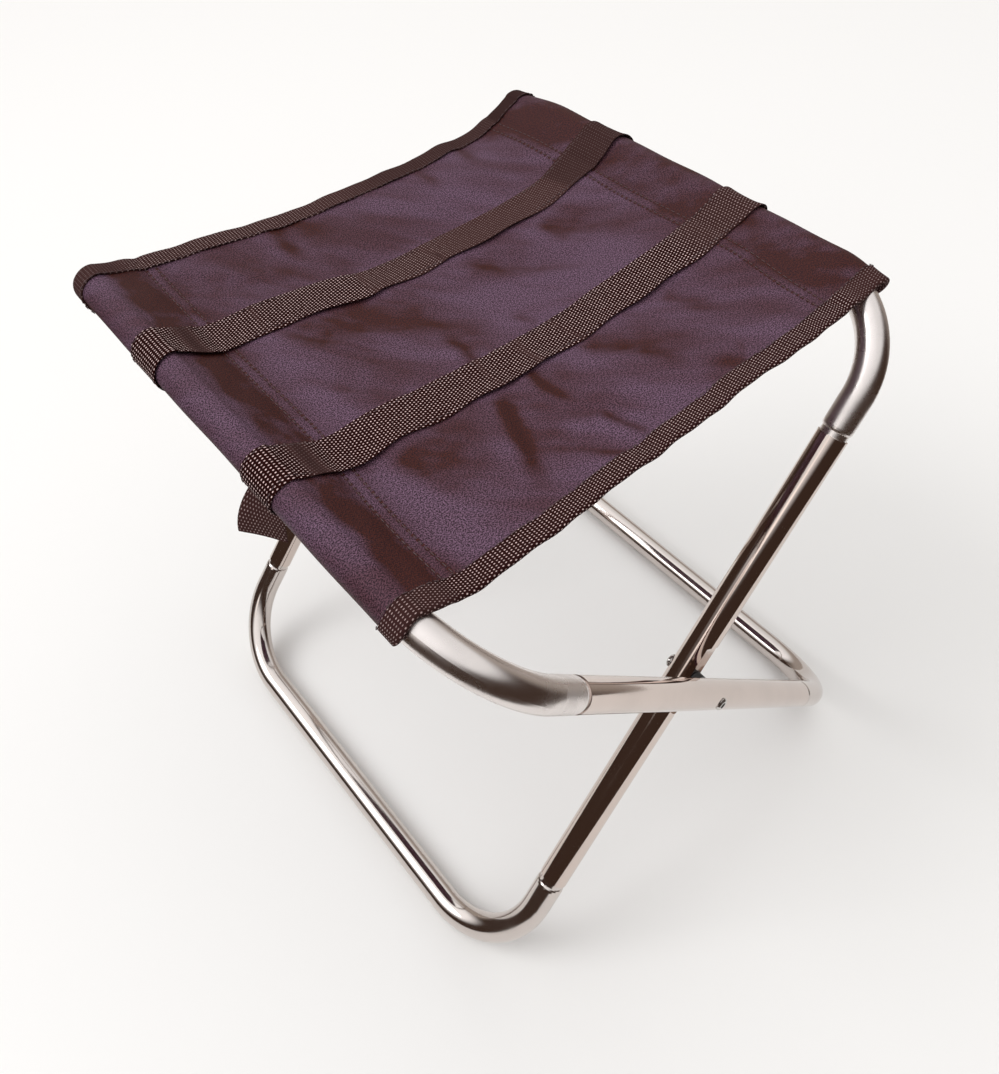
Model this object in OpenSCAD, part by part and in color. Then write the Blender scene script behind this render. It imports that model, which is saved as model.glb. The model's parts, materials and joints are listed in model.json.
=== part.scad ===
// Folding camp stool: two closed tube frames that cross at riveted pivots, with a sewn cloth seat.
// X runs from one seat rail to the other, Y runs along the rails and the pivots, Z is up.
// The origin is on the floor, below the middle of the stool. Sizes are in millimetres.

/* [Frame] */
// Outer diameter of the steel tube
tube_d = 16; // [14:0.5:19]
// Wall of the steel tube
tube_wall = 0.8; // [0.6:0.1:1.2]
// Distance between the seat rails' axes, and between the foot rails' axes
rail_span = 282; // [240:1:320]
// Height of the seat rails' axes above the floor
rail_h = 340; // [300:1:400]
// Distance between the leg axes of the outer frame
outer_w = 330; // [310:1:380]
// Gap between the round sides of neighbouring legs
leg_gap = 1.8; // [1:0.1:4]
// Centre-line radius of the bends
bend_r = 50; // [40:1:55]

/* [Tube joints] */
// Straight run of a bent tube from its bend to the end of the leg tube
stub_len = 21; // [16:0.5:30]
// Bare neck that shows at the outer frame's joints
outer_neck = 1.2; // [0.5:0.1:3]
// Bare neck that shows at the inner frame's joints
inner_neck = 3; // [0.5:0.1:5]
// Length of the rounded shoulder above the neck
shoulder_len = 2.5; // [1.5:0.1:4]
// Length of the necked-down spigot inside the leg tube
spigot_len = 20; // [12:1:35]
// Radial clearance of the spigot in the leg tube
spigot_fit = 0.05; // [0.02:0.01:0.1]

/* [Pivot] */
// Depth of the pressed flats where neighbouring legs face each other
flat_depth = 1.8; // [1:0.1:2.4]
// Length of the pressed flats
flat_len = 44; // [30:1:60]
// Diameter of the rivet's shank
rivet_d = 5; // [4:0.1:6]
// Radial clearance of the shank in the legs' holes
rivet_fit = 0.05; // [0.02:0.01:0.1]
// Diameter of the rivet's heads
head_d = 7.4; // [6.5:0.1:9]
// Height of the outer head above the leg's crest
head_h = 0.9; // [0.5:0.1:2]
// Height of the formed head on the inner side
tail_h = 1.8; // [1:0.1:3]
// Diameter of the hollow in the outer head
dimple_d = 3.4; // [2:0.1:4]
// Depth of the hollow in the outer head
dimple_depth = 1.6; // [0.5:0.1:3]
// Diameter of the spacer between the legs
spacer_d = 10; // [9:0.1:12]
// Free play between the inner legs and what faces them
pivot_play = 0.3; // [0.2:0.05:0.5]

/* [Seat cloth] */
// How much shorter the seat is than the distance between the inner frame's leg axes
seat_margin = 20; // [10:1:60]
// How far the seat has slid along the rails from the middle
seat_shift = 7; // [0:1:12]
// Thickness of the cloth
cloth_t = 1; // [0.8:0.1:1.6]
// Clearance between a rail and the sleeve round it
sleeve_gap = 0.4; // [0.3:0.05:1]
// Slack of the sleeve on the rail's outer side and underside
sleeve_slack = 2; // [1:0.5:5]
// Distance from a rail's axis to the end of the sleeve's hem
hem_w = 38; // [28:1:45]
// Gap between the hem and the cloth above it
hem_gap = 0.6; // [0.4:0.1:2]
// Sag of the seat at its near edge
sag_near = 9; // [2:1:20]
// Sag of the seat in its middle
sag_middle = 25; // [4:1:30]
// Sag of the seat at its far edge
sag_far = 22; // [2:1:26]
// How far the underside of the sleeves is drawn in at the two bound edges
sleeve_tuck = 24; // [10:1:32]
// Height of the seat's main folds
fold_h = 3; // [0:0.5:5]
// Half width of a fold
fold_w = 14; // [12:1:30]

/* [Webbing] */
// Width of the two straps across the seat
strap_w = 25; // [20:1:38]
// Distance between the two straps' middles
strap_pitch = 102; // [70:1:130]
// How far the straps' middle lies from the seat's middle
strap_shift = 12; // [0:1:16]
// Thickness of the webbing
web_t = 1.3; // [0.8:0.1:2]
// Gap between the webbing and the cloth under it
web_gap = 0.2; // [0.1:0.05:0.4]
// Gap between the binding's lip and the cloth's cut edge
lip_gap = 0.3; // [0.2:0.05:0.6]
// Width of the binding on the seat's edges
binding_w = 12; // [8:1:18]
// Length of the strap's free end that hangs below the rail
tail_len = 22; // [15:1:40]
// How far the free end swings out sideways
tail_swing = 6.5; // [3:0.5:12]
// Twist of the free end in degrees
tail_twist = 30; // [0:1:40]

/* [Hidden] */
$fn = 48;

steel = "silver";
satin = "gainsboro";
cloth = "#4a3a4e";
webbing = "#33282a";
nylon = "#303030";

tube_r = tube_d / 2;
bore_r = tube_r - tube_wall;
spigot_r = bore_r - spigot_fit;
inner_w = outer_w - 2 * (tube_d + leg_gap);
seat_len = inner_w - seat_margin;
pivot_h = (rail_h + tube_r) / 2;
// Half of a frame's height along its legs, and the frames' lean from upright
half_run = norm([rail_span / 2, rail_h - pivot_h]);
lean = atan2(rail_span / 2, rail_h - pivot_h);
joint_dist = bend_r + stub_len;
leg_len = 2 * (half_run - joint_dist);
rivet_r = rivet_d / 2;
// Width of the press that makes the flats, wider than the flat itself
press_r = tube_r - 1;

// Places a frame that was built upright round the pivot axis; side -1 is the outer frame
module leaning(side) {
    translate([0, 0, pivot_h])
        rotate([0, side * lean, 0])
            children();
}

// Tubes

module tube_section() {
    difference() {
        circle(tube_r);
        circle(bore_r);
    }
}

// Straight stub, rounded shoulder and spigot, pointing down from z = 0
module swaged_end(neck) {
    stub = stub_len - neck - shoulder_len;
    tip = -stub_len - spigot_len;
    step = tube_r - spigot_r;
    rotate_extrude()
        polygon(concat(
            [[bore_r, 0], [tube_r, 0]],
            [for (a = [0 : 30 : 90]) [spigot_r + step * cos(a), -stub - shoulder_len * sin(a)]],
            [[spigot_r, tip], [spigot_r - tube_wall, tip]],
            [[spigot_r - tube_wall, -stub - shoulder_len], [bore_r, -stub]]
        ));
}

// Rail with a bend and a swaged end at each side, the rail on the Y axis and the ends down
module bent_rail(width, neck) {
    straight = width - 2 * bend_r;
    rotate([90, 0, 0])
        translate([0, 0, -straight / 2])
            linear_extrude(straight)
                tube_section();
    for (end = [-1, 1])
        scale([1, end, 1])
            translate([0, straight / 2, -bend_r]) {
                rotate([90, 0, 90])
                    rotate_extrude(angle = 90)
                        translate([bend_r, 0])
                            tube_section();
                translate([0, bend_r, 0])
                    swaged_end(neck);
            }
}

// Stadium-shaped press block whose face lies at y = face
module press(face, grow) {
    radius = press_r + grow;
    reach = flat_len / 2 + grow - radius;
    translate([0, face, 0])
        rotate([-90, 0, 0])
            linear_extrude(tube_d)
                union() {
                    square([2 * radius, 2 * reach], center = true);
                    for (end = [-1, 1])
                        translate([0, end * reach])
                            circle(radius);
                }
}

// Leg tube on the Z axis with its pressed flat facing +Y and the rivet's holes through it
module leg_tube() {
    face = tube_r - flat_depth;
    difference() {
        cylinder(h = leg_len, r = tube_r, center = true);
        press(face, 0);
        difference() {
            cylinder(h = leg_len + 2, r = bore_r, center = true);
            press(face - tube_wall, tube_wall);
        }
        rotate([90, 0, 0])
            cylinder(h = tube_d + 2, r = rivet_r + rivet_fit, center = true);
    }
}

module outer_top_rail() {
    color(satin) leaning(-1) translate([0, 0, half_run]) bent_rail(outer_w, outer_neck);
}

module outer_foot_rail() {
    color(satin) leaning(-1) translate([0, 0, -half_run]) rotate([0, 180, 0]) bent_rail(outer_w, outer_neck);
}

module outer_leg_near() {
    color(steel) leaning(-1) translate([0, -outer_w / 2, 0]) leg_tube();
}

module outer_leg_far() {
    color(steel) leaning(-1) translate([0, outer_w / 2, 0]) rotate([0, 0, 180]) leg_tube();
}

module inner_top_rail() {
    color(satin) leaning(1) translate([0, 0, half_run]) bent_rail(inner_w, inner_neck);
}

module inner_foot_rail() {
    color(satin) leaning(1) translate([0, 0, -half_run]) rotate([0, 180, 0]) bent_rail(inner_w, inner_neck);
}

module inner_leg_near() {
    color(steel) leaning(1) translate([0, -inner_w / 2, 0]) rotate([0, 0, 180]) leg_tube();
}

module inner_leg_far() {
    color(steel) leaning(1) translate([0, inner_w / 2, 0]) leg_tube();
}

// Pivots

// Distances from the outer leg's axis, inwards along the rivet
spacer_start = tube_r - flat_depth;
spacer_t = leg_gap + 2 * flat_depth - pivot_play;
tail_start = tube_d + leg_gap + tube_r + pivot_play;
// Depth of the saddle that the outer head forms on the round leg
saddle = tube_r - sqrt(tube_r * tube_r - head_d * head_d / 4);

// Rivet on the Z axis of the outer leg's middle, its outer head at negative Z
module rivet() {
    head_r = head_d / 2;
    crest = -tube_r;
    top = crest - head_h;
    difference() {
        rotate_extrude()
            polygon([
                [0, top + dimple_depth], [dimple_d / 2, top + dimple_depth], [dimple_d / 2, top],
                [head_r - head_h, top], [head_r, crest], [head_r, crest + saddle], [rivet_r, crest + saddle],
                [rivet_r, tail_start], [head_r, tail_start], [head_r, tail_start + tail_h / 3],
                [head_r * 0.8, tail_start + tail_h * 0.8], [head_r * 0.5, tail_start + tail_h],
                [0, tail_start + tail_h]
            ]);
        head_seat();
    }
}

// The leg's round wall, without the shank's hole, that shapes the underside of the outer head
module head_seat() {
    difference() {
        rotate([0, 90, 0])
            cylinder(h = 2 * tube_d, r = tube_r + rivet_fit, center = true);
        cylinder(h = 2 * tube_d, r = rivet_r, center = true);
        translate([-tube_d, -tube_d, 0])
            cube(2 * tube_d);
    }
}

// Places what was built on the Z axis of the outer leg; side -1 is the near leg
module at_pivot(side) {
    leaning(-1)
        translate([0, side * outer_w / 2, 0])
            rotate([side * 90, 0, 0])
                rotate([0, 0, 90])
                    children();
}

module spacer() {
    translate([0, 0, spacer_start])
        difference() {
            cylinder(h = spacer_t, d = spacer_d);
            translate([0, 0, -1])
                cylinder(h = spacer_t + 2, r = rivet_r + rivet_fit);
        }
}

module pivot_rivet_near() {
    color(steel) at_pivot(-1) rivet();
}

module pivot_rivet_far() {
    color(steel) at_pivot(1) rivet();
}

module pivot_spacer_near() {
    color(nylon) at_pivot(-1) spacer();
}

module pivot_spacer_far() {
    color(nylon) at_pivot(1) spacer();
}

// Seat: the cloth, the straps and the bindings all follow one path from hem to hem, taken at many
// stations along the rails

ring_step = 35;
ring_from = -55;
// A higher power makes the sagging cloth flatter in the middle and steeper at the rails
sag_power = 2.6;
panel_steps = 14;
gap_steps = 4;
// The sleeve's corners stand out so that its flat faces clear the round rail
sleeve_r = (tube_r + sleeve_gap) / cos(ring_step / 2) + cloth_t / 2;
seat_near = seat_shift - seat_len / 2;
seat_far = seat_shift + seat_len / 2;
strap_near = seat_shift + strap_shift - strap_pitch / 2;
strap_far = seat_shift + strap_shift + strap_pitch / 2;

// Share of the way from the seat's middle to its end, cubed so that only the ends change
function end_share(y) = pow(abs(y - seat_shift) / (seat_len / 2), 3);

// Place along the rails of a point that lies at y on top of the seat; low is 1 under the sleeve
function tucked(y, low) = y - sign(y - seat_shift) * sleeve_tuck * low * end_share(y);

// How far a rail's underside has bent down from its straight axis at y
function bend_drop(y, width) =
    let (into = min(max(abs(y) - width / 2 + bend_r, 0), 0.9 * bend_r),
         rise = sqrt(bend_r * bend_r - into * into))
    bend_r - rise + tube_r * (bend_r / rise - 1);

// Folds in the seat: [x, y, direction, half length, share of the full height]
folds = [
    [-33, -78, 55, 34, -0.8], [6, -94, -55, 26, 0.6], [30, -88, -75, 34, -0.8], [-70, -84, 0, 26, 0.5],
    [-50, 10, -5, 36, 0.7], [48, 6, -42, 44, -0.8], [70, 28, -38, 30, 0.5],
    [-70, 106, -48, 32, -0.7], [-20, 106, -50, 30, 0.6], [40, 108, -48, 32, -0.6]
];

function fold_at(x, y, f) =
    let (dx = x - f[0],
         dy = y - f[1],
         along = dx * cos(f[2]) + dy * sin(f[2]),
         across = dy * cos(f[2]) - dx * sin(f[2]))
    exp(-pow(across / fold_w, 2) - pow(along / f[3], 2));

function fold_sum(x, y, i = 0) =
    i == len(folds) ? 0 : folds[i][4] * fold_at(x, y, folds[i]) + fold_sum(x, y, i + 1);

// The straps hold the cloth flat, so folds fade out beside them
function strap_calm(y) =
    1 - exp(-pow((y - strap_near) / strap_w, 2)) - exp(-pow((y - strap_far) / strap_w, 2));

// Sag at y, a parabola through the sags of the two edges and the middle
function sag(y) =
    let (t = (y - seat_shift) / (seat_len / 2),
         mean = (sag_near + sag_far) / 2)
    sag_middle + (sag_far - sag_near) / 2 * t + (mean - sag_middle) * t * t;

// Height of the cloth above the rails' axes
function panel_z(x, y) =
    let (slack = 1 - pow(abs(2 * x / rail_span), sag_power))
    sleeve_r - sag(y) * slack + fold_h * slack * strap_calm(y) * fold_sum(x, y);

// Hem and sleeve round one rail, from the hem's end to the top: [x, z, low]
function sleeve_path(side, y, width) =
    let (drop = bend_drop(tucked(y, 1), width),
         hem_x = side * (rail_span / 2 - hem_w),
         hem_z = panel_z(hem_x, tucked(y, 1)) - cloth_t - hem_gap)
    concat(
        [[hem_x, rail_h + hem_z, 1]],
        [for (i = [0 : 7])
            let (a = ring_from - i * ring_step,
                 above = max(6 - i, 0),
                 low = i < 2 ? 1 : pow(above / 5, 2.5),
                 r = sleeve_r + sleeve_slack * sin(min(30 * above, 90)))
            [side * (rail_span / 2 - r * cos(a) - low * drop * sin(lean)),
             rail_h + r * sin(a) - low * drop * cos(lean),
             low]]
    );

function reversed(list) = [for (i = [len(list) - 1 : -1 : 0]) list[i]];

// Whole path of the cloth across the stool at one station
function seat_path(y) =
    concat(
        sleeve_path(-1, y, outer_w),
        [for (i = [1 : panel_steps - 1])
            let (x = rail_span * (i / panel_steps - 0.5))
            [x, rail_h + panel_z(x, y), 0]],
        reversed(sleeve_path(1, y, inner_w))
    );

// The path moved off the cloth's middle by a distance, as points in space
function seat_line(y, off) =
    let (p = seat_path(y), last = len(p) - 1)
    [for (i = [0 : last])
        let (a = p[max(i - 1, 0)],
             b = p[min(i + 1, last)],
             d = [b[0] - a[0], b[1] - a[1]] / norm([b[0] - a[0], b[1] - a[1]]))
        [p[i][0] - d[1] * off, tucked(y, p[i][2]), p[i][1] + d[0] * off]];

// Closed strip between two grids of points: front[station][i] and back[station][i]; the two sides'
// triangles are split the same way in space when match is true
module strip(front, back, match = false) {
    stations = len(front);
    width = len(front[0]);
    loop = 2 * width;
    points = [for (s = [0 : stations - 1]) each concat(front[s], reversed(back[s]))];
    sides = [for (s = [0 : stations - 2], i = [0 : loop - 1])
        let (a = s * loop + i,
             b = s * loop + (i + 1) % loop)
        each match && i >= width
            ? [[a, a + loop, b], [b, a + loop, b + loop]]
            : [[a, b + loop, b], [a, a + loop, b + loop]]];
    first = [for (i = [0 : width - 2])
        let (j = loop - 1 - i)
        each [[i, j - 1, j], [i, i + 1, j - 1]]];
    start = (stations - 1) * loop;
    last = [for (f = first) [start + f[0], start + f[2], start + f[1]]];
    polyhedron(points, concat(sides, first, last));
}

function spread(from, to, steps) = [for (i = [0 : steps - 1]) from + (to - from) * i / steps];

seat_stations = concat(
    [seat_near],
    spread(seat_near + binding_w, strap_near - strap_w / 2, gap_steps),
    spread(strap_near - strap_w / 2, strap_near + strap_w / 2, 1),
    spread(strap_near + strap_w / 2, strap_far - strap_w / 2, gap_steps),
    spread(strap_far - strap_w / 2, strap_far + strap_w / 2, 1),
    spread(strap_far + strap_w / 2, seat_far - binding_w, gap_steps),
    [seat_far - binding_w, seat_far]
);

web_low = cloth_t / 2 + web_gap;
web_high = web_low + web_t;

module seat_cloth() {
    color(cloth)
        strip([for (y = seat_stations) seat_line(y, cloth_t / 2)],
              [for (y = seat_stations) seat_line(y, -cloth_t / 2)]);
}

// Strap over the cloth and round both sleeves
module strap(middle) {
    edges = [middle - strap_w / 2, middle + strap_w / 2];
    strip([for (y = edges) seat_line(y, web_high)],
          [for (y = edges) seat_line(y, web_low)],
          match = true);
}

module strap_front() {
    color(webbing) strap(strap_near);
}

module strap_rear() {
    color(webbing) strap(strap_far);
}

// Binding over one bound edge, with a lip that closes over the cloth's cut edge
module binding(edge, out) {
    inner = seat_line(edge - out * binding_w, web_low);
    inner_top = seat_line(edge - out * binding_w, web_high);
    corner = seat_line(edge, web_low);
    corner_top = seat_line(edge, web_high);
    lip = seat_line(edge, -cloth_t / 2);
    near_y = [0, out * lip_gap, 0];
    far_y = [0, out * (lip_gap + web_t), 0];
    top = [for (i = [0 : len(inner) - 1]) [inner_top[i], corner_top[i] + far_y, lip[i] + far_y]];
    under = [for (i = [0 : len(inner) - 1]) [inner[i], corner[i] + near_y, lip[i] + near_y]];
    if (out > 0)
        strip(under, top);
    else
        strip(top, under);
}

module binding_front() {
    color(webbing) binding(seat_near, -1);
}

module binding_rear() {
    color(webbing) binding(seat_far, 1);
}

// Free end of the front strap, hanging from the outer side of the sleeve
module strap_tail() {
    steps = 6;
    base = rail_h - sleeve_r - sleeve_slack - web_high;
    levels = [for (i = [0 : steps]) i / steps];
    function tail_point(t, across, off) =
        let (turn = tail_twist * t,
             x = -rail_span / 2 - tail_swing * sin(90 * t) - across * sin(turn) + off * cos(turn),
             y = strap_near + across * cos(turn) + off * sin(turn))
        [x, y, base - web_gap - tail_len * t];
    function tail_row(t, off) = [for (side = [-1, 0, 1]) tail_point(t, side * strap_w / 2, off)];
    color(webbing)
        strip([for (t = levels) tail_row(t, -web_t / 2)],
              [for (t = levels) tail_row(t, web_t / 2)]);
}

outer_top_rail();
outer_foot_rail();
outer_leg_near();
outer_leg_far();
inner_top_rail();
inner_foot_rail();
inner_leg_near();
inner_leg_far();
pivot_rivet_near();
pivot_rivet_far();
pivot_spacer_near();
pivot_spacer_far();
seat_cloth();
strap_front();
strap_rear();
binding_front();
binding_rear();
strap_tail();
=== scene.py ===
import json
import bpy
import numpy as np
from mathutils import Matrix, Vector


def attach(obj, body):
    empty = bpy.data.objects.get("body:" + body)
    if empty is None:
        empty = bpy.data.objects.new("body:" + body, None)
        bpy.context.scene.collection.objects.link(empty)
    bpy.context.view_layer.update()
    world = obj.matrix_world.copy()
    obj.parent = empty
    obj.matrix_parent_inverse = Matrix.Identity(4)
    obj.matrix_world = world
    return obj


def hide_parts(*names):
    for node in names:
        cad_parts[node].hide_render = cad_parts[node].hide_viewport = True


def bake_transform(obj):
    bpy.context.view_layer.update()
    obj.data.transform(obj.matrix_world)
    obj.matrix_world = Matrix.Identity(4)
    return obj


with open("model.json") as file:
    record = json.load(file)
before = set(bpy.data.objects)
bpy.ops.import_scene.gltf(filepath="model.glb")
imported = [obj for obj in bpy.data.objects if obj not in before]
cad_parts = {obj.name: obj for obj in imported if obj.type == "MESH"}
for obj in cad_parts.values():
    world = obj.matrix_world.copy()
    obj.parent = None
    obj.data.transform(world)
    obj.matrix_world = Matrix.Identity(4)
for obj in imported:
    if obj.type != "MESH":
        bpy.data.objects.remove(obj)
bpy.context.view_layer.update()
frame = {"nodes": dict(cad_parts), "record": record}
nodes = frame["nodes"]
rng = np.random.default_rng(7)

# Sizes in millimetres, as in the CAD part
TUBE_R, SPAN, RAIL_H, BEND_R = 8.0, 282.0, 340.0, 50.0
OUTER_W, INNER_W = 330.0, 294.4
PIVOT_H = 174.0
LEAN = np.arctan2(SPAN / 2, RAIL_H - PIVOT_H)
CLOTH_T = 0.9
SEAT_NEAR, SEAT_FAR = -130.0, 147.0
SEAT_MID, SEAT_HALF = (SEAT_NEAR + SEAT_FAR) / 2, (SEAT_FAR - SEAT_NEAR) / 2
STRAPS = (-32.0, 70.0)
STRAP_W, WEB_T, BIND_W = 25.0, 1.0, 10.0
STRAP_HALF = STRAP_W / 2
STRAP_SEAM = 10.6  # from a strap's middle to its stitches
STRAP_GAP, BIND_GAP, THREAD_GAP = 0.15, 0.12, 0.12  # air between the cloth and what lies on it
SEAM = {-1: 26.5, 1: 21.0}  # from each rail to its outer line of stitches
SEAM_W = 5.5
HEM = 40.0
SLACK = {-1: 0.4, 1: 2.2}  # how loose each sleeve is below its rail
TUCK = 20.0  # how far the sleeves' corners are drawn in below the rails
SLEEVE_R = TUBE_R + 0.4 + CLOTH_T / 2
LEAVE = 20.0  # degrees past the top where the cloth leaves the rail
PANEL_HALF = SPAN / 2 - SLEEVE_R * np.sin(np.radians(LEAVE))
SAG_NEAR, SAG_MIDDLE, SAG_FAR = 9.0, 25.0, 19.0
SAG_POWER = 2.5

# How far the real seat has slipped along the rails: places across the seat, read from the photo, and shifts
ASKEW = {
    SEAT_NEAR: (
        (-141, 0.0), (-110, 0.6), (-74, -1.0), (-30, 2.1), (-14, 1.1), (-2, 3.0), (9, 1.3), (42, 3.1),
        (89, 0.2), (105, 1.6), (141, 2.5),
    ),
    STRAPS[0]: (
        (-138, 1.7), (-115, 0.1), (-92, 2.6), (-60, 0.4), (0, -0.9), (30, -1.9), (55, -1.1), (90, -4.2),
        (130, -6.9),
    ),
    STRAPS[1]: (
        (-138, 5.2), (-115, 5.2), (-95, 7.8), (-60, 7.2), (-45, 5.9), (-28, 0.9), (0, -3.2), (30, -5.9),
        (60, -9.6), (85, -11.6), (130, -10.5),
    ),
    SEAT_FAR: (
        (-141, 10.0), (-115, 11.3), (-86, 12.1), (-50, 7.8), (-33, 3.0), (0, 0.4), (30, -3.1), (62, -8.3),
        (75, -7.6), (100, -4.2), (141, -5.0),
    ),
}
# The slips are averaged over these places, which rounds the lines' corners
ROUNDING = (-8.0, -4.0, 0.0, 4.0, 8.0)
# Painted shade in the hollow beside the left rail: place along the rail, the hollow's inner and outer edge
# across the seat
HOLLOW = (
    (-100, -122, -136), (-60, -121, -135), (-20, -121, -134), (20, -123, -132), (50, -117, -131),
    (100, -118, -135),
)
# Places across the two straps where they have wrinkles, with painted shade along each
WRINKLES = {STRAPS[0]: (-26.0, -4.0, -1.0, 23.0), STRAPS[1]: (-88.0, -26.0, 15.0)}


def smooth(a, b, x):
    """Smooth step from 0 at a to 1 at b."""
    t = np.clip((x - a) / (b - a), 0, 1)
    return t * t * (3 - 2 * t)


# Materials

# Spacing in metres: yarns and stitch holes of the cloth, picks along and across the webbing
YARN, STITCH_HOLE = 0.0011, 0.0034
PICK_ALONG, PICK_ACROSS = 0.00357, 0.00172


class Nodes:
    """A material or world's node tree with short calls."""

    def __init__(self, tree):
        self.tree = tree
        tree.nodes.clear()

    def add(self, kind, **values):
        n = self.tree.nodes.new(kind)
        for k, v in values.items():
            setattr(n, k, v)
        return n

    def put(self, socket, value):
        if isinstance(value, bpy.types.NodeSocket):
            self.tree.links.new(value, socket)
        else:
            socket.default_value = value

    def math(self, op, a, b=0.0, c=0.0):
        n = self.add("ShaderNodeMath", operation=op)
        for s, v in zip(n.inputs, (a, b, c)):
            self.put(s, v)
        return n.outputs[0]

    def mix(self, fac, a, b):
        n = self.add("ShaderNodeMix", data_type="RGBA")
        self.put(n.inputs[0], fac)
        self.put(n.inputs[6], a)
        self.put(n.inputs[7], b)
        return n.outputs[2]

    def ramp(self, x, a, b, lo=0.0, hi=1.0):
        n = self.add("ShaderNodeMapRange", interpolation_type="SMOOTHSTEP")
        for s, v in zip(n.inputs, (x, a, b, lo, hi)):
            self.put(s, v)
        return n.outputs[0]

    def noise(self, vector, scale, detail=3.0, rough=0.55):
        n = self.add("ShaderNodeTexNoise")
        self.put(n.inputs["Vector"], vector)
        self.put(n.inputs["Scale"], scale)
        self.put(n.inputs["Detail"], detail)
        self.put(n.inputs["Roughness"], rough)
        return n.outputs["Fac"]

    def bump(self, height, distance, strength=1.0, normal=None):
        n = self.add("ShaderNodeBump")
        self.put(n.inputs["Height"], height)
        self.put(n.inputs["Distance"], distance)
        self.put(n.inputs["Strength"], strength)
        if normal is not None:
            self.put(n.inputs["Normal"], normal)
        return n.outputs[0]

    def surface(self, **values):
        p = self.add("ShaderNodeBsdfPrincipled")
        for k, v in values.items():
            self.put(p.inputs[k], v)
        out = self.add("ShaderNodeOutputMaterial")
        self.tree.links.new(p.outputs[0], out.inputs[0])
        return p


def material(name):
    """A new material and its empty node tree."""
    m = bpy.data.materials.new(name)
    m.use_nodes = True
    return m, Nodes(m.node_tree)


def rgb(r, g, b):
    return (r, g, b, 1.0)


def metal(name, colour, rough_lo, rough_hi, streak):
    """Polished steel with faint smears and a fine grain."""
    m, n = material(name)
    at = n.add("ShaderNodeTexCoord").outputs["Object"]
    fine = n.noise(at, 900.0, 4.0, 0.6)
    smear = n.noise(at, 38.0, 5.0, 0.6)
    rough = n.ramp(smear, 0.35, 0.75, rough_lo, rough_hi)
    tint = n.mix(n.ramp(smear, 0.3, 0.8), rgb(*colour), rgb(*[c * 0.93 for c in colour]))
    n.surface(**{
        "Base Color": tint, "Metallic": 1.0, "Roughness": rough,
        "Normal": n.bump(fine, 0.00002 * streak, 0.5),
    })
    return m


def fabric():
    """Flecked weave, mixed towards a brown that paints shade where the mesh's shade attribute says so."""
    m, n = material("seat_fabric")
    uv = n.add("ShaderNodeUVMap").outputs[0]
    xyz = n.add("ShaderNodeSeparateXYZ")
    n.put(xyz.inputs[0], uv)
    u, v = xyz.outputs[0], xyz.outputs[1]
    # Plain weave with a slight wander, flecked by yarns that catch the light
    wander = n.noise(uv, 160.0, 2.0)
    pitch = 2 * np.pi / YARN
    sway = n.math("MULTIPLY", wander, 3.0)
    warp, weft = [n.math("SINE", n.math("ADD", n.math("MULTIPLY", axis, pitch), sway)) for axis in (u, v)]
    weave = n.math("MULTIPLY", warp, weft)
    fleck = n.noise(uv, 1450.0, 2.0, 0.7)
    tone = n.math("ADD", n.math("MULTIPLY", weave, 0.14), n.ramp(fleck, 0.41, 0.60))
    # Painted shade in soft hollows drawn out along the way the cloth is pulled
    pulled = n.add("ShaderNodeMapping", vector_type="TEXTURE")
    n.put(pulled.inputs["Vector"], uv)
    pulled.inputs["Rotation"].default_value = (0, 0, np.radians(-53))
    pulled.inputs["Scale"].default_value = (3.0, 0.9, 1.0)
    pulled_hollow_shade = n.noise(pulled.outputs[0], 30.0, 3.0, 0.55)
    # The cloth's lit colour and its shaded copy, a brown that is painted shade
    lit = n.mix(tone, rgb(0.013, 0.004, 0.006), rgb(0.184, 0.099, 0.155))
    shaded_brown = n.mix(tone, rgb(0.012, 0.001, 0.0005), rgb(0.072, 0.014, 0.005))
    shade_mark = n.add("ShaderNodeAttribute", attribute_name="shade").outputs["Fac"]
    uneven = n.math("MULTIPLY", shade_mark, n.ramp(n.noise(uv, 90.0, 3.0), 0.3, 0.7, 0.75, 1.25))
    brown = n.math("ADD", uneven, n.ramp(pulled_hollow_shade, 0.34, 0.68, -0.14, 0.58))
    # Two rows of stitch holes along each seam, painted dark as shade in the holes
    from_seam = n.add("ShaderNodeAttribute", attribute_name="seam").outputs["Fac"]
    off_line = n.math("SUBTRACT", from_seam, SEAM_W / 2000)
    row = n.ramp(n.math("ABSOLUTE", off_line), 0.0004, 0.0012, 1.0, 0.0)
    beat = n.math("MULTIPLY_ADD", v, 2 * np.pi / STITCH_HOLE, n.math("MULTIPLY", wander, 5.0))
    beat = n.math("SINE", beat)
    stitch = n.math("MULTIPLY", row, n.ramp(beat, -0.3, 0.6, 0.15, 0.9))
    brown = n.math("ADD", brown, stitch)
    brown.node.use_clamp = True
    colour = n.mix(brown, lit, shaded_brown)
    height = n.math("MULTIPLY_ADD", stitch, -3.0, n.math("ADD", weave, fleck))
    pucker = n.noise(uv, 55.0, 3.0, 0.5)
    soft = n.bump(pucker, 0.0012, 0.35)
    n.surface(**{
        "Base Color": colour, "Roughness": 0.62,
        "Specular IOR Level": 0.28, "Specular Tint": rgb(0.90, 0.78, 1.0),
        "Sheen Weight": 0.02, "Sheen Roughness": 0.40, "Sheen Tint": rgb(0.80, 0.62, 0.72),
        "Normal": n.bump(height, 0.00008, 0.4, soft),
    })
    return m


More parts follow.
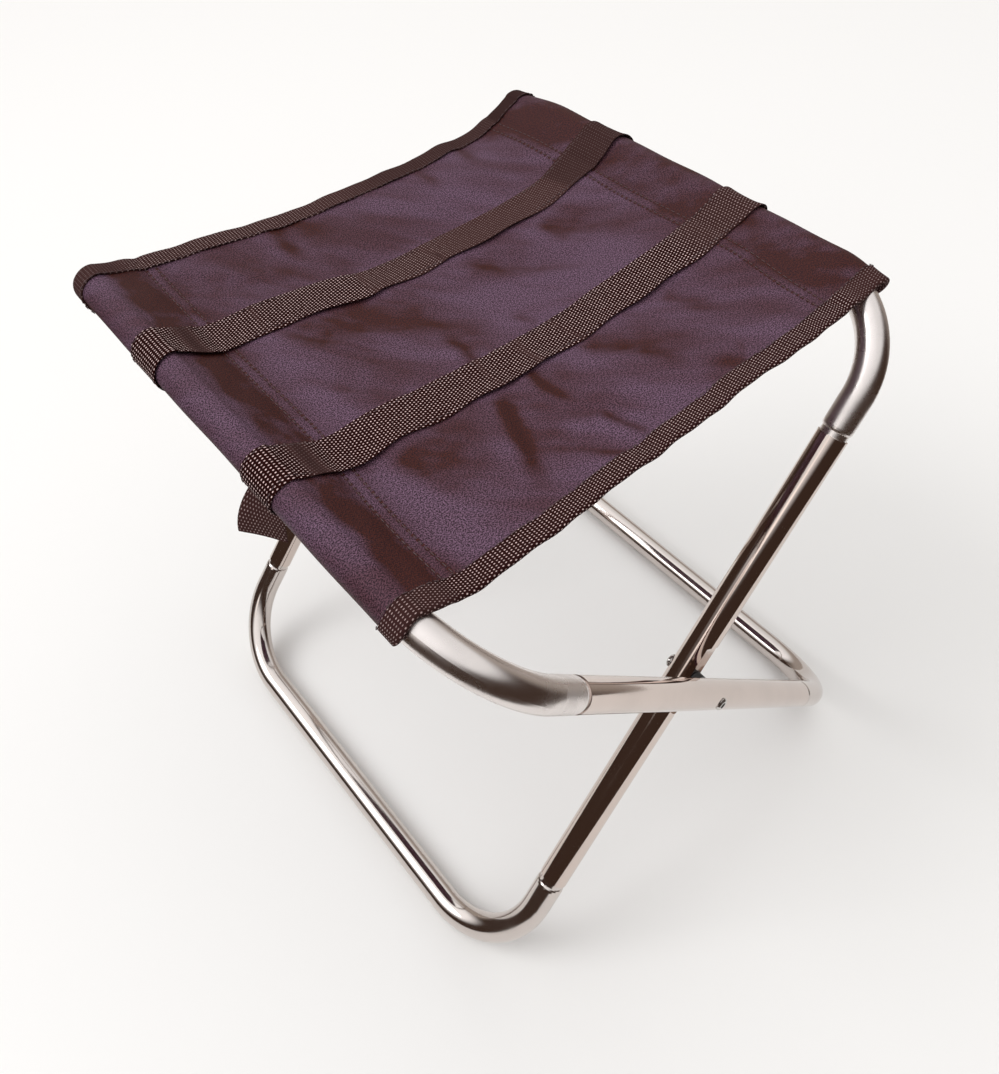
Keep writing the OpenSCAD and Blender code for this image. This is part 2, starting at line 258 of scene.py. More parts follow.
def web(name, dark, light, painted_shade):
    """Webbing with light picks on a dark ground, mixed towards a brown that paints shade where the mesh's
    shade attribute says so.
    """
    m, n = material(name)
    uv = n.add("ShaderNodeUVMap").outputs[0]
    xyz = n.add("ShaderNodeSeparateXYZ")
    n.put(xyz.inputs[0], uv)
    u, v = xyz.outputs[0], xyz.outputs[1]
    wander = n.noise(uv, 220.0, 2.0)
    # Columns of light picks, each column shifted by half a pick against the next, some brighter than others
    phases = []
    for axis, pitch, sway in ((u, PICK_ALONG, 1.0), (v, PICK_ACROSS, -1.0)):
        phases.append(n.math("MULTIPLY_ADD", axis, 2 * np.pi / pitch, n.math("MULTIPLY", wander, sway)))
    picks = n.math("MULTIPLY", *[n.math("COSINE", phase) for phase in phases])
    column = n.math("COSINE", n.math("MULTIPLY", phases[0], 2.0))
    grid = n.math("MULTIPLY_ADD", picks, 0.42, 0.42)
    grid = n.math("ADD", grid, n.math("MULTIPLY_ADD", column, 0.10, 0.06))
    uneven = n.noise(uv, 420.0, 3.0, 0.6)
    fuzz = n.noise(uv, 2400.0, 2.0, 0.7)
    lit = n.math("MULTIPLY", n.ramp(grid, 0.67, 0.97), n.ramp(uneven, 0.36, 0.62, 0.55, 1.0))
    shaded = n.add("ShaderNodeAttribute", attribute_name="shade").outputs["Fac"]
    # A darker painted shade where the shade attribute is deepest
    deep = n.mix(n.ramp(shaded, 0.75, 1.0), rgb(*painted_shade), rgb(*[c * 0.6 for c in painted_shade]))
    colour = n.mix(shaded, n.mix(lit, rgb(*dark), rgb(*light)), deep)
    height = n.math("MULTIPLY_ADD", fuzz, 0.5, n.ramp(grid, 0.3, 0.9))
    n.surface(**{
        "Base Color": colour, "Roughness": 0.8, "Specular IOR Level": 0.07,
        "Normal": n.bump(height, 0.00022, 0.9),
    })
    return m


def plain(name, colour, rough, **more):
    """A material of one colour."""
    m, n = material(name)
    n.surface(**{"Base Color": rgb(*colour), "Roughness": rough, **more})
    return m


leg_steel = metal("leg_steel", (0.67, 0.575, 0.525), 0.06, 0.12, 0.6)
rail_steel = metal("rail_steel", (0.77, 0.715, 0.69), 0.22, 0.36, 1.0)
foot_steel = metal("foot_steel", (0.66, 0.60, 0.565), 0.10, 0.17, 0.8)
rivet_steel = metal("rivet_steel", (0.62, 0.59, 0.57), 0.16, 0.26, 1.2)
nylon = plain("spacer_nylon", (0.03, 0.03, 0.03), 0.5)
# Webbing colours: its dark ground, its light picks, and a brown that paints shade
strap_web = web("webbing", (0.016, 0.001, 0.0005), (1.0, 0.74, 0.71), (0.063, 0.028, 0.026))
thread = plain("thread", (0.085, 0.048, 0.050), 0.8)

SLOTS = {
    "leg_steel": leg_steel, "rail_steel": rail_steel, "rivet_steel": rivet_steel, "spacer_nylon": nylon,
}
for part in frame["record"]["subparts"]:
    if part["material_slot"] in SLOTS:
        o = nodes[part["node"]]
        o.data.materials.clear()
        o.data.materials.append(foot_steel if "foot_rail" in part["node"] else SLOTS[part["material_slot"]])

# The seat's path

# Points of the path in a hem, round a rail and over the panel between the rails, and stations along the rails
N_HEM, N_RING, N_PANEL, N_STATIONS = 12, 60, 170, 150
PANEL = slice(N_HEM + N_RING, N_HEM + N_RING + N_PANEL)

# Creases read from the photo: depth, half width and the line's points, with the ridge on the window's side
CREASES = [
    (0.9, 5.0, (-111, 133), (-75, 105), (-39, 84), (-25, 85)),
    (1.0, 5.0, (-41, 144), (-40, 124), (-41, 102)),
    (0.8, 4.0, (53, 144), (57, 112)),
    (0.9, 4.0, (84, 144), (88, 116)),
    (0.7, 5.0, (112, 131), (112, 86)),
    (1.2, 5.0, (-89, 60), (-72, 34), (-48, 32), (-21, 20), (-2, 4), (3, -13)),
    (1.0, 4.0, (-26, -30), (-22, -8), (-22, 16)),
    (0.9, 4.5, (-61, -22), (-83, -1), (-98, 25)),
    (1.4, 6.0, (18, 57), (35, 32), (57, 9), (90, -20)),
    (1.1, 6.0, (71, 53), (75, 28), (98, 22), (111, 8)),
    (0.6, 4.0, (-32, 57), (-15, 29)),
    (0.7, 4.0, (19, -18), (12, 4)),
    (1.5, 5.0, (-31, -44), (-45, -79), (-64, -120)),
    (1.3, 4.0, (-12, -42), (-14, -62), (-10, -83)),
    (1.7, 4.0, (-4, -122), (-9, -93), (-30, -74)),
    (1.0, 4.0, (-17, -126), (-38, -91)),
    (1.2, 6.0, (14, -48), (35, -73), (39, -97), (39, -114)),
    (0.9, 7.0, (72, -46), (83, -92)),
    (1.0, 5.0, (63, -117), (37, -103)),
    (1.2, 7.0, (-93, -48), (-90, -73), (-74, -98)),
]
WINDOW = (-0.83, 0.56)  # the way to the window
# Gentle waves over the whole seat: wave numbers along x and y, phase and height
WAVES = [
    (rng.uniform(0.02, 0.05), rng.uniform(0.02, 0.05), rng.uniform(0, 6.28), rng.uniform(0.3, 0.6))
    for _ in range(7)
]


def sag(y):
    """Sag at y, a parabola through the sags of the two edges and the middle."""
    t = (y - SEAT_MID) / SEAT_HALF
    mean = (SAG_NEAR + SAG_FAR) / 2
    return SAG_MIDDLE + (SAG_FAR - SAG_NEAR) / 2 * t + (mean - SAG_MIDDLE) * t * t


def calm(y):
    """How free the folds are at y, from 0.2 under the straps to 1."""
    return 1 - 0.8 * sum(np.exp(-((y - s) / 15.0) ** 2) for s in STRAPS)


def creases(x, y):
    """Height of the folds at x, y, and how much shade is painted there for the creases, from 0 to 1."""
    height = np.zeros(np.broadcast(x, y).shape)
    dark = np.zeros_like(height)
    for deep, wide, *line in CREASES:
        line = np.array(line, float)
        step = np.diff(line, axis=0)
        length = np.hypot(step[:, 0], step[:, 1])
        done = np.concatenate([[0], np.cumsum(length)])
        chord = line[-1] - line[0]
        turn = 1 if chord[0] * WINDOW[1] - chord[1] * WINDOW[0] > 0 else -1
        nearest = np.full(height.shape, np.inf)
        across, share = np.zeros_like(height), np.zeros_like(height)
        for p, d, l, start in zip(line, step / length[:, None], length, done):
            along = np.clip((x - p[0]) * d[0] + (y - p[1]) * d[1], 0, l)
            ex, ey = x - p[0] - along * d[0], y - p[1] - along * d[1]
            gap = np.hypot(ex, ey)
            closer = gap < nearest
            nearest = np.where(closer, gap, nearest)
            across = np.where(closer, turn * np.sign(d[0] * ey - d[1] * ex) * gap / wide, across)
            share = np.where(closer, (start + along) / done[-1], share)
        fade = smooth(0, 0.15, share) * smooth(1, 0.45, share)
        height = height + deep * fade * across * np.exp(0.5 - 0.5 * across ** 2)
        # Painted shade of the creases: a thin line in each and a wide band on its side away from the window
        hollow = 0.3 * np.exp(-1.5 * across ** 2) + 0.7 * np.exp(-0.12 * (across + 1.8) ** 2)
        dark = np.maximum(dark, np.minimum(0.8 * deep, 1) * fade * hollow)
    return height, dark


def slump(y):
    """How far the cloth has slumped over the two bends of the right rail."""
    return 4.5 * smooth(-104, -134, y) + 6.0 * smooth(106, 156, y)


def seam_x(side, y):
    """Outer line of stitches beside one rail; both drift to the left at the front."""
    drift = 6.5 * smooth(-50, -118, y) if side > 0 else 6.0 * smooth(0, -100, y)
    return side * (SPAN / 2 - SEAM[side]) - drift


def panel_z(x, y):
    """Height of the cloth between the rails, over the rails' axes."""
    z = SLEEVE_R * np.cos(np.radians(LEAVE)) - sag(y) * (1 - np.abs(x / PANEL_HALF) ** SAG_POWER)
    # beside the rails the pulled seams draw the cloth down
    z = z - np.interp(y, [-130, 80, 148], [5.5, 5.5, 1.0]) * np.exp(-((x + 110) / 20) ** 2)
    z = z - np.interp(y, [-32, 70, 148], [0.0, 3.0, 7.0]) * np.exp(-((x - 104) / 22) ** 2)
    z = z - slump(y) * smooth(80, 138, x)
    # the rear strap leans back on its right half
    behind = y - STRAPS[1]
    z = z - 0.24 * behind * np.exp(-(behind / 22) ** 2) * smooth(-34, -20, x) * smooth(125, 100, x)
    fold = creases(x, y)[0]
    for kx, ky, phase, high in WAVES:
        fold = fold + high * np.sin(kx * x + ky * y + phase)
    held = 0.3 + 0.7 * smooth(0, 30, SEAT_HALF - np.abs(y - SEAT_MID))
    z = z + fold * calm(y) * held * np.clip(1 - (np.abs(x) / 128) ** 6, 0, 1)
    # the sewn seams lie a little lower
    for side in SEAM:
        d = side * (x - seam_x(side, y))
        z = z - 0.9 * np.exp(-((d - 1.0) / 3.0) ** 2)
        z = z + 0.5 * np.exp(-((d - 9.0) / 5.0) ** 2) * np.sin(y * 0.19 + side)
    return z


def end_share(y):
    """How near y is to the seat's front or rear edge, from 0 to 1."""
    return (np.abs(y - SEAT_MID) / SEAT_HALF) ** 3


def tucked(y, low):
    """y drawn in towards the middle, as far as the place is low on its sleeve."""
    return y - np.sign(y - SEAT_MID) * TUCK * low * end_share(y)


def bend_drop(y, width):
    """How far a rail's underside has turned down its bend at y."""
    into = np.clip(np.abs(y) - width / 2 + BEND_R, 0, 0.9 * BEND_R)
    rise = np.sqrt(BEND_R ** 2 - into ** 2)
    return BEND_R - rise + TUBE_R * (BEND_R / rise - 1)


def sleeve(side, y, width):
    """Hem and sleeve round one rail, from the hem's end to the top: x, z and how low each point is."""
    drop = bend_drop(tucked(y, 1.0), width)
    phi = np.radians(np.linspace(215, -LEAVE, N_RING))[None, :]
    low = np.clip((phi - np.radians(40)) / np.radians(140), 0, 1) ** 2.5
    billow = 1 + 0.35 * np.sin(y * 0.045 + side) + 0.25 * np.sin(y * 0.11 + 2 * side)
    r = SLEEVE_R + SLACK[side] * billow * (1 - 0.8 * end_share(y)) * smooth(0, np.radians(100), phi)
    ring_x = side * (SPAN / 2 + r * np.sin(phi) - low * drop * np.sin(LEAN))
    ring_z = r * np.cos(phi) - low * drop * np.cos(LEAN) - (slump(y) if side > 0 else 0.0)
    hem_x = side * (SPAN / 2 - HEM) * np.ones_like(y)
    ends = smooth(SEAT_HALF - 24, SEAT_HALF - 14, np.abs(y - SEAT_MID))
    hem_z = panel_z(hem_x, tucked(y, 1.0)) - CLOTH_T - 0.5 - 3.0 * ends
    t = np.linspace(0, 1, N_HEM, endpoint=False)[None, :]
    x = hem_x * (1 - t) + ring_x[:, :1] * t
    z = hem_z * (1 - t) + ring_z[:, :1] * t
    return (np.concatenate([x, ring_x], 1), np.concatenate([z, ring_z], 1),
            np.concatenate([np.ones_like(x), np.broadcast_to(low, ring_x.shape)], 1))


def path(y):
    """Middle of the cloth from hem to hem, for each y: x, z and low, each of shape (stations, points)."""
    y = np.asarray(y, float)[:, None]
    lx, lz, ll = sleeve(-1, y, OUTER_W)
    rx, rz, rl = sleeve(1, y, INNER_W)
    px = np.broadcast_to(np.linspace(-PANEL_HALF, PANEL_HALF, N_PANEL + 2)[1:-1], (len(y), N_PANEL))
    pz = panel_z(px, y)
    return (np.concatenate([lx, px, rx[:, ::-1]], 1), np.concatenate([lz, pz, rz[:, ::-1]], 1) + RAIL_H,
            np.concatenate([ll, np.zeros_like(px), rl[:, ::-1]], 1))


def skew(x, y):
    """How far the seat has slipped along the rails at x, y."""
    lines = sorted(ASKEW)
    slips = [np.mean([np.interp(x + d, *zip(*ASKEW[line])) for d in ROUNDING], axis=0) for line in lines]
    total = slips[0]
    for a, b, before, after in zip(lines, lines[1:], slips, slips[1:]):
        total = total + (after - before) * smooth(a, b, y)
    return total


def surface(y, off):
    """Points of the cloth at stations y, moved off its middle by off: shape (stations, points, 3)."""
    y = np.asarray(y, float)
    x, z, low = path(y)
    dx, dz = np.gradient(x, axis=1), np.gradient(z, axis=1)
    size = np.hypot(dx, dz)
    off = np.asarray(off, float)
    off = off[:, None] if off.ndim == 1 else off
    px, pz = x - dz / size * off, z + dx / size * off
    py = tucked(y[:, None], low)
    return np.stack([px, py + skew(x, py), pz], 2)


def shade(y):
    """How much shade is painted on the cloth at stations y, dark and brown, from 0 to 1."""
    x, z, low = path(y)
    y = np.asarray(y, float)[:, None]
    dark = np.full(x.shape, 0.06)
    # painted shade on slopes that fall away from the window, and in the creases
    px = x[:, PANEL]
    rise_y, rise_x = np.gradient(z[:, PANEL], y[:, 0], px[0])
    away = rise_x * WINDOW[0] + rise_y * WINDOW[1]
    folds = 0.68 * creases(px, y)[1] * (0.4 + 0.6 * calm(y))
    dark[:, PANEL] += 1.2 * away * (0.2 + 0.8 * smooth(-135, -124, px)) + folds
    # painted shade in the hollow at the left seam, on the right hem, at the right corners and on the sleeves'
    # undersides
    place, inner, outer = np.array(HOLLOW, float).T
    inner, outer = [np.interp(y, place, edge) + 0.8 * np.sin(0.21 * y) for edge in (inner, outer)]
    for zone in (
        0.95 * smooth(inner + 2, inner - 3, x) * smooth(outer - 3, outer + 4, x),
        0.15 * smooth(88, 100, x) + 0.50 * smooth(110, 122, x),
        0.62 * smooth(95, 125, x) * np.maximum(smooth(105, 135, y), smooth(-95, -120, y)),
        0.7 * smooth(0.008, 0.12, low),
    ):
        dark = np.maximum(dark, zone)
    return np.clip(dark, 0, 1)


def seam_gap(y):
    """Distance, in metres, from the middle of the nearer double seam at stations y."""
    x = path(y)[0]
    y = np.asarray(y, float)[:, None]
    return np.min([np.abs(x - seam_x(side, y) + side * SEAM_W / 2) for side in SEAM], axis=0) / 1000


STEP = np.hypot(*[np.diff(a[0]) for a in path([0.0])[:2]])
RUN = np.concatenate([[0], np.cumsum(STEP)])  # length along the path at each point

# Meshes


def make(name, points, faces, uv, mat, **values):
    """Object from points and uv in millimetres; the values become named attributes of its points."""
    mesh = bpy.data.meshes.new(name)
    mesh.from_pydata((np.asarray(points) / 1000).tolist(), [], faces)
    layer = mesh.uv_layers.new(name="UVMap")
    index = np.zeros(len(mesh.loops), np.int32)
    mesh.loops.foreach_get("vertex_index", index)
    layer.data.foreach_set("uv", (np.asarray(uv)[index] / 1000).astype(np.float32).ravel())
    mesh.polygons.foreach_set("use_smooth", [True] * len(mesh.polygons))
    for key, value in values.items():
        named = mesh.attributes.new(key, "FLOAT", "POINT")
        named.data.foreach_set("value", value.astype(np.float32).ravel())
    mesh.materials.append(mat)
    mesh.validate()
    o = bpy.data.objects.new(name, mesh)
    bpy.context.scene.collection.objects.link(o)
    return o


def tube_grid(name, rings, uv, mat, **values):
    """Closed mesh from rings of points, shape (rings, around, 3), with its two ends closed."""
    n, k = rings.shape[:2]
    i, j = np.meshgrid(np.arange(n - 1), np.arange(k), indexing="ij")
    a, b = i * k + j, i * k + (j + 1) % k
    faces = np.stack([a, b, b + k, a + k], -1).reshape(-1, 4).tolist()
    for start, flip in ((0, False), ((n - 1) * k, True)):
        for s in range(k // 2 - 1):
            q = [s, k - 1 - s, k - 2 - s, s + 1]
            q = [start + v for v in (q[::-1] if flip else q)]
            faces.append(q[::-1])
    return make(name, rings.reshape(-1, 3), faces, uv.reshape(-1, 2), mat, **values)


def ribbon(name, top, bottom, uv, mat, **values):
    """Closed mesh between two grids, shape (stations, points, 3)."""
    rings = np.concatenate([top, bottom[:, ::-1]], 1)
    values = {key: np.concatenate([value, value[:, ::-1]], 1) for key, value in values.items()}
    return tube_grid(name, rings, np.concatenate([uv, uv[:, ::-1]], 1), mat, **values)


def follow(o, slot_name, *replaced):
    """Bake a soft piece's place into its mesh, and hide the named solids it stands in for."""
    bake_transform(o)
    if replaced:
        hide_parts(*replaced)
    return o


# Cloth
seat_fabric = fabric()
ys = np.linspace(SEAT_NEAR, SEAT_FAR, N_STATIONS)
ys = np.unique(np.concatenate([ys, [SEAT_NEAR + BIND_W, SEAT_FAR - BIND_W]]))
grid_uv = np.stack(np.broadcast_arrays(RUN[None, :], ys[:, None]), 2)
face, back = [surface(ys, np.full(len(ys), off)) for off in (CLOTH_T / 2, -CLOTH_T / 2)]
cloth = ribbon("seat", face, back, grid_uv, seat_fabric, shade=shade(ys), seam=seam_gap(ys))

# Straps: webbing with thinner edges, a slight wander and a little lift
ripple = 0.45 * np.sin(RUN * 0.085) + 0.3 * np.sin(RUN * 0.19 + 1.0)


def rim(across):
    """Half the webbing's thickness at places across it, rounded off at its edges."""
    return WEB_T / 2 * np.clip(1 - (np.abs(across) / 12.56) ** 14, 0, 1) ** 0.5


def make_strap(name, middle, seed, leaning):
    """One strap over the seat and round both sleeves; leaning paints shade on its right half, which leans
    back.
    """
    across = np.array([-12.5, -12.3, -11.6, -9, -6, -3, 0, 3, 6, 9, 11.6, 12.3, 12.5])
    thick = rim(across)
    mid = CLOTH_T / 2 + STRAP_GAP + WEB_T / 2
    y = middle + across
    x, _, low_share = path(y)
    place = across[:, None] / STRAP_HALF
    front = np.clip(-place, 0, 1)
    panel = low_share == 0
    wrinkle_shade, raised = np.zeros_like(x), np.zeros_like(x)
    for at in WRINKLES[middle]:
        bent = at + 1.2 * np.sin(2.0 * place + at)
        wrinkle_shade += (0.7 + 0.3 * np.sin(3.0 * place + at)) * np.exp(-((x - bent) / 1.1) ** 2)
        raised += np.exp(-((x - bent - 3.0) / 1.8) ** 2)
    edges = (0.25 + 0.45 * front) * np.abs(place) ** 3
    lift = edges * (1 + np.sin(RUN * 0.07 + seed)) + 0.35 * panel * raised
    # Painted shade on the strap: along its wrinkles, in the hollow by the left rail, at its right end, on the
    # sleeves' undersides, and from leaning on its right half
    dark = 0.75 * panel * wrinkle_shade + 0.9 * np.exp(-((x + 126) / 5) ** 4) + 0.55 * smooth(98, 116, x)
    dark = dark + leaning * (0.6 * smooth(-32, -22, x) + 0.4 * smooth(5, 35, x))
    dark = np.clip(dark + 0.5 * smooth(0.05, 0.4, low_share), 0, 0.9)
    top = surface(y, mid + thick[:, None] + lift)
    low = surface(y, mid - thick[:, None] + lift)
    shift = 0.5 * np.sin(RUN * 0.05 + seed) + ripple * 0.4 + 0.8 * front * np.sin(RUN * 0.15 + 2 * seed)
    for layer in (top, low):
        layer[:, :, 1] += shift
    uv = np.stack(np.broadcast_arrays(RUN[None, :], across[:, None]), 2)
    return ribbon(name, top, low, uv, strap_web, shade=dark)


strap_front = make_strap("front_strap", STRAPS[0], 0.3, 0.0)
strap_rear = make_strap("rear_strap", STRAPS[1], 1.9, 0.75)


# Bindings: webbing folded over the cloth's edge, top and underside
def make_binding(name, edge, out, seed, painted_shade):
    """One binding; out is 1 where outwards is along y and -1 where it is against it."""
    web_half = 0.45
    mid = CLOTH_T / 2 + BIND_GAP + web_half
    turn = np.radians(np.linspace(90, -90, 9))
    # profile of the webbing's middle: distance outwards from the edge, and height over the cloth's middle
    fold = 0.6 * np.cos(turn) + 0.25
    s = np.concatenate([[-BIND_W, -BIND_W + 0.5, -9, -6, -3], fold, [-3, -6, -9, -BIND_W]])
    h = np.concatenate([[mid] * 5, mid * np.sin(turn), [-mid] * 4])
    ds, dh = np.gradient(s), np.gradient(h)
    size = np.hypot(ds, dh)
    outer_s, outer_h = s - dh / size * web_half, h + ds / size * web_half
    inner_s, inner_h = s + dh / size * web_half * 0.9, h - ds / size * web_half * 0.9
    loop_s = np.concatenate([outer_s, inner_s[::-1]])
    loop_h = np.concatenate([outer_h, inner_h[::-1]])
    wave = 0.2 * np.sin(RUN * 0.13 + seed) + 0.25 * np.sin(RUN * 0.31 + 2 * seed)
    rings = surface(edge + out * loop_s, loop_h)
    rings[:, :, 1] += (out * wave)[None, :]
    rings[:, :, 2] += (0.35 * np.sin(RUN * 0.17 + seed))[None, :]
    rings = rings.transpose(1, 0, 2)
    if out > 0:
        rings = rings[:, ::-1]
    walk = np.concatenate([[0], np.cumsum(np.hypot(np.diff(s), np.diff(h)))])
    walk = np.concatenate([walk, walk[::-1]])
    walk = walk[::-1] if out > 0 else walk
    uv = np.stack(np.broadcast_arrays(RUN[:, None], 1.3 * walk[None, :]), 2)
    x = path([edge])[0].T
    # Painted shade, deeper towards the right and near the rails
    dark = np.clip(painted_shade * (0.5 + 0.5 * smooth(-60, 40, x)) + 0.4 * smooth(118, 128, np.abs(x)), 0, 1)
    return tube_grid(name, rings, uv, strap_web, shade=np.broadcast_to(dark, rings.shape[:2]))


binding_front = make_binding("front_binding", SEAT_NEAR, -1, 0.7, 0.25)
binding_rear = make_binding("rear_binding", SEAT_FAR, 1, 2.2, 0.9)

# Free end of the front strap, hanging below the left rail
t = np.linspace(0, 1, 28)[:, None]
ctrl = np.array([
    [-136.5, -23.0, 329.8], [-143.0, -23.0, 327.4], [-151.0, -23.5, 319.0], [-151.5, -23.0, 304.0],
])
weights = ((1 - t) ** 3, 3 * t * (1 - t) ** 2, 3 * t ** 2 * (1 - t), t ** 3)
tail_line = sum(weight * point for weight, point in zip(weights, ctrl))
twist = np.radians(32) * smooth(0.1, 1.0, t)
side_dir = np.concatenate([-np.sin(twist), np.cos(twist), np.zeros_like(t)], 1)
face_dir = np.cross(side_dir, np.gradient(tail_line, axis=0))
face_dir /= np.linalg.norm(face_dir, axis=1)[:, None]
tail_across = np.array([-12.5, -12.2, -9, -4.5, 0, 4.5, 9, 12.2, 12.5])
curl = 0.8 * (tail_across / STRAP_HALF) ** 2
tail_mid = tail_line[:, None] + side_dir[:, None] * tail_across[None, :, None]
tail_mid = tail_mid + face_dir[:, None] * (curl[None, :, None] * t[:, :, None])
tail_half = face_dir[:, None] * rim(tail_across)[None, :, None]
tail_run = np.concatenate([[0], np.cumsum(np.linalg.norm(np.diff(tail_line, axis=0), axis=1))])
tail_uv = np.stack(np.broadcast_arrays(tail_run[:, None], tail_across[None, :]), 2)
# Painted shadow over the whole hanging end
tail_shadow = np.full(tail_mid.shape[:2], 0.6)
tail = ribbon("strap_end", tail_mid - tail_half, tail_mid + tail_half, tail_uv, strap_web, shade=tail_shadow)


# Stitches: short threads along the seams, the straps' edges and the bindings
STITCH_STEP, STITCH_HALF, STITCH_WIDE, STITCH_HIGH = 3.9, 1.35, 0.26, 0.22
STITCH_SIDES = 6


def stitch_rows():
    """Lines along which the threads lie."""
    rows = []
    y = np.arange(SEAT_NEAR + 3, SEAT_FAR - 3, 0.5)
    over = surface(y, np.full(len(y), CLOTH_T / 2 + THREAD_GAP))[:, PANEL]
    for side in SEAM:
        for inner in (0.0, SEAM_W):
            at = seam_x(side, y) - side * inner
            row = [[np.interp(a, line[:, 0], line[:, i]) for i in range(3)] for a, line in zip(at, over)]
            rows.append(np.array(row))
    for s in STRAPS:
        for edge in (-STRAP_SEAM, STRAP_SEAM):
            rows.append(surface([s + edge], [CLOTH_T / 2 + STRAP_GAP + WEB_T + 0.1])[0])
    for edge, out in ((SEAT_NEAR, -1), (SEAT_FAR, 1)):
        rows.append(surface([edge - out * BIND_W], [CLOTH_T / 2 + 1.35])[0])
    return rows


def make_stitches():
    """All threads as one mesh of small closed spindles."""
    points, faces, uvs = [], [], []
    k = STITCH_SIDES
    ring = np.radians(np.arange(0, 360, 360 // k))
    prof = [(-1.0, 0.25), (-0.7, 0.9), (0.0, 1.0), (0.7, 0.9), (1.0, 0.25)]
    for row in stitch_rows():
        long = np.concatenate([[0], np.cumsum(np.linalg.norm(np.diff(row, axis=0), axis=1))])
        for at in np.arange(2.0, long[-1] - 2.0, STITCH_STEP):
            here = np.array([np.interp(at, long, row[:, i]) for i in range(3)])
            there = np.array([np.interp(at + 0.6, long, row[:, i]) for i in range(3)])
            d = there - here
            d /= np.linalg.norm(d)
            u = np.cross(d, [0, 0, 1.0] if abs(d[2]) < 0.9 else [1.0, 0, 0])
            u /= np.linalg.norm(u)
            w = np.cross(u, d)
            first = len(points)
            for along, wide in prof:
                for g in ring:
                    around = u * np.cos(g) * STITCH_WIDE + w * np.sin(g) * STITCH_HIGH
                    points.append(here + d * along * STITCH_HALF + around * wide)
                    uvs.append((at, g))
            for i in range(len(prof) - 1):
                for j in range(k):
                    a, b = first + i * k + j, first + i * k + (j + 1) % k
                    faces.append((a, b, b + k, a + k))
            last = first + (len(prof) - 1) * k
            faces.append(tuple(first + j for j in range(k))[::-1])
            faces.append(tuple(last + j for j in range(k)))
    return make("stitches", points, faces, uvs, thread)


stitches = make_stitches()

follow(cloth, "seat_fabric", "seat_cloth")
follow(strap_front, "webbing", "strap_front")
follow(strap_rear, "webbing", "strap_rear")
follow(binding_front, "webbing", "binding_front")
follow(binding_rear, "webbing", "binding_rear")
follow(stitches, "seat_fabric")
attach(tail, "outer_frame")
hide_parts("strap_tail")

# Floor, light and camera

FLOOR_NEAR, FLOOR_FAR, FLOOR_SIDES = 0.52, 8.0, 96
floor_paint = plain("floor", (0.90, 0.888, 0.868), 0.35, **{"Specular IOR Level": 0.3})


def circle(radius):
    """Points round the origin, on the floor."""
    turn = np.linspace(0, 2 * np.pi, FLOOR_SIDES, endpoint=False)
    return np.stack([radius * np.cos(turn), radius * np.sin(turn), np.zeros(FLOOR_SIDES)], 1).tolist()


def floor_piece(name, points, faces):
    """A piece of floor, which isn't part of the object."""
    mesh = bpy.data.meshes.new(name)
    mesh.from_pydata(points, [], faces)
    mesh.materials.append(floor_paint)
    o = bpy.data.objects.new(name, mesh)
    bpy.context.scene.collection.objects.link(o)
    return o


# The tubes mirror only the floor close by; past it they mirror the dark room
floor_piece("floor_near", circle(FLOOR_NEAR), [list(range(FLOOR_SIDES))])
floor_ring = []
for i in range(FLOOR_SIDES):
    j = (i + 1) % FLOOR_SIDES
    floor_ring.append([i, FLOOR_SIDES + i, FLOOR_SIDES + j, j])
floor_piece("floor_far", circle(FLOOR_NEAR) + circle(FLOOR_FAR), floor_ring).visible_glossy = False

world = bpy.data.worlds.new("studio")
bpy.context.scene.world = world
world.use_nodes = True
w = Nodes(world.node_tree)
direction = w.add("ShaderNodeTexCoord").outputs["Generated"]


def toward(x, y, z):
    """How far the ray points the given way, from -1 to 1."""
    n = w.add("ShaderNodeVectorMath", operation="DOT_PRODUCT")
    w.put(n.inputs[0], direction)
    n.inputs[1].default_value = Vector((x, y, z)).normalized()
    return n.outputs["Value"]


up = w.add("ShaderNodeSeparateXYZ")
w.put(up.inputs[0], direction)
# A dark room up to eye level, lighter behind the stool, under a pale ceiling that is brighter by the window
behind_stool = w.ramp(toward(0.82, 0.57, 0.0), 0.30, 0.85)
by_window = w.ramp(toward(-0.586, 0.395, 0.707), 0.2, 0.9)
wall = w.mix(behind_stool, rgb(0.055, 0.033, 0.024), rgb(0.42, 0.37, 0.33))
ceiling = w.mix(by_window, rgb(0.96, 0.96, 0.96), rgb(1.30, 1.30, 1.31))
room = w.mix(w.ramp(up.outputs[2], 0.28, 0.60), wall, ceiling)
# A narrow bright gap between curtains, which draws the thin line along the legs
room = w.mix(w.ramp(toward(-0.905, -0.127, 0.407), 0.985, 0.997), room, rgb(1.5, 1.42, 1.36))
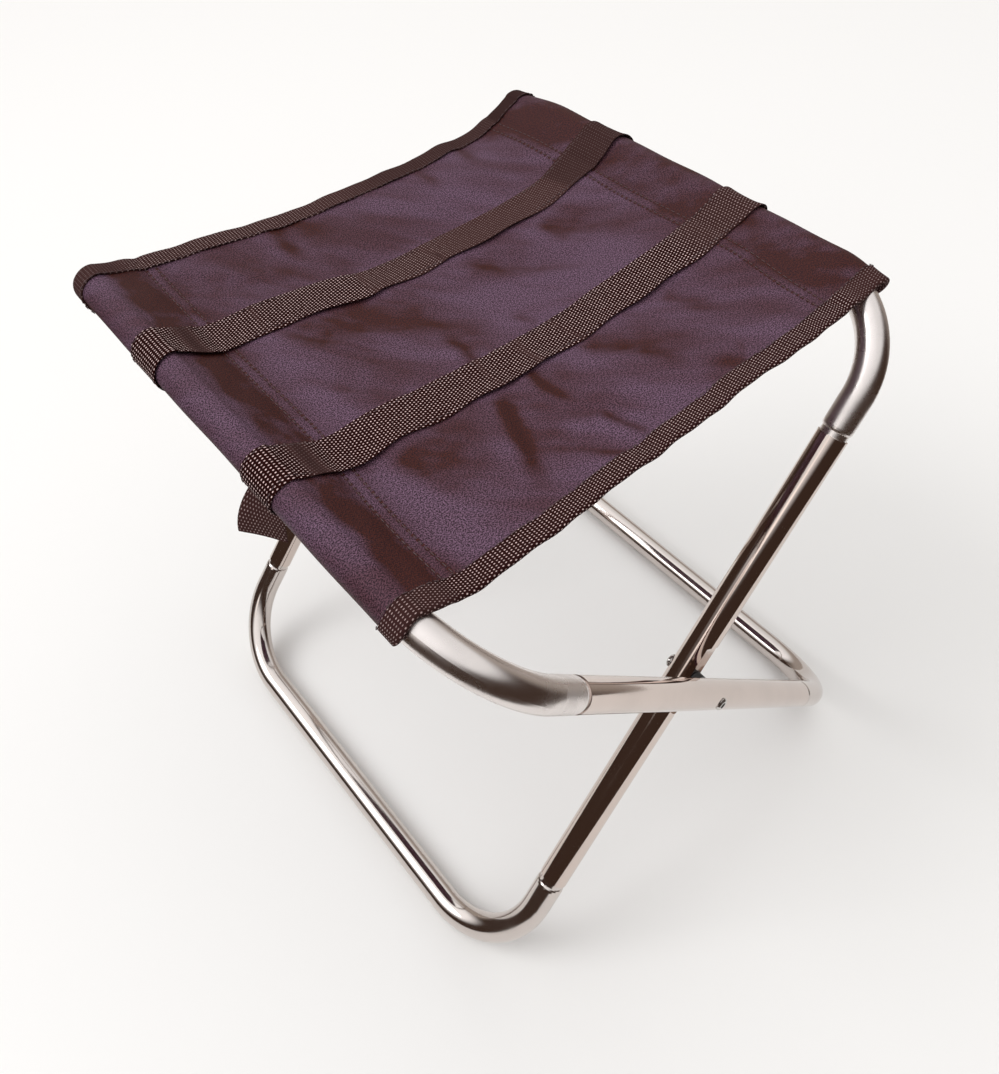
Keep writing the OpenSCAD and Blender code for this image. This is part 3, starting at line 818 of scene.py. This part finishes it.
# Seen straight on, the backdrop is as plain and pale as the floor
room = w.mix(w.add("ShaderNodeLightPath").outputs["Is Camera Ray"], room, rgb(0.90, 0.885, 0.86))
glow = w.add("ShaderNodeBackground")
w.put(glow.inputs["Color"], room)
w.put(glow.inputs["Strength"], 1.0)
world_out = w.add("ShaderNodeOutputWorld")
w.tree.links.new(glow.outputs[0], world_out.inputs["Surface"])


def area_light(name, at, to, size, power, colour):
    """A round lamp at one point that faces another."""
    data = bpy.data.lights.new(name, "AREA")
    data.shape = "DISK"
    data.size = size
    data.energy = power
    data.color = colour
    o = bpy.data.objects.new(name, data)
    bpy.context.scene.collection.objects.link(o)
    o.location = at
    o.rotation_euler = (Vector(to) - Vector(at)).to_track_quat("-Z", "Y").to_euler()
    return o


area_light("window", (-3.52, 2.38, 4.64), (0.0, 0.0, 0.2), 3.2, 100, (0.97, 0.98, 1.0))

# The photo's camera, solved from the frame's tubes: its place and axes, and in pixels the picture's size,
# the focal length and the point on the camera's axis
CAM = Vector((-0.24153, -0.32160, 0.66825))
RIGHT = Vector((0.77045918, -0.63366076, -0.0697616))
DOWN = Vector((-0.48037044, -0.50513982, -0.71699233))
AHEAD = Vector((0.41909054, 0.58592473, -0.69358152))
PHOTO_W, PHOTO_H = 999, 1074
FOCAL, AXIS_X, AXIS_Y = 1037.619, 474.67, 385.557
SENSOR = 36
data = bpy.data.cameras.new("photo_camera")
data.sensor_fit = "HORIZONTAL"
data.sensor_width = SENSOR
data.lens = SENSOR * FOCAL / PHOTO_W
data.shift_x = (PHOTO_W / 2 - AXIS_X) / PHOTO_W
data.shift_y = (AXIS_Y - PHOTO_H / 2) / PHOTO_W
data.clip_start = 0.01
camera = bpy.data.objects.new("photo_camera", data)
bpy.context.scene.collection.objects.link(camera)
camera.matrix_world = Matrix.Translation(CAM) @ Matrix((RIGHT, -DOWN, -AHEAD)).transposed().to_4x4()
bpy.context.scene.camera = camera
bpy.context.scene.view_settings.view_transform = "Standard"

bpy.context.view_layer.update()
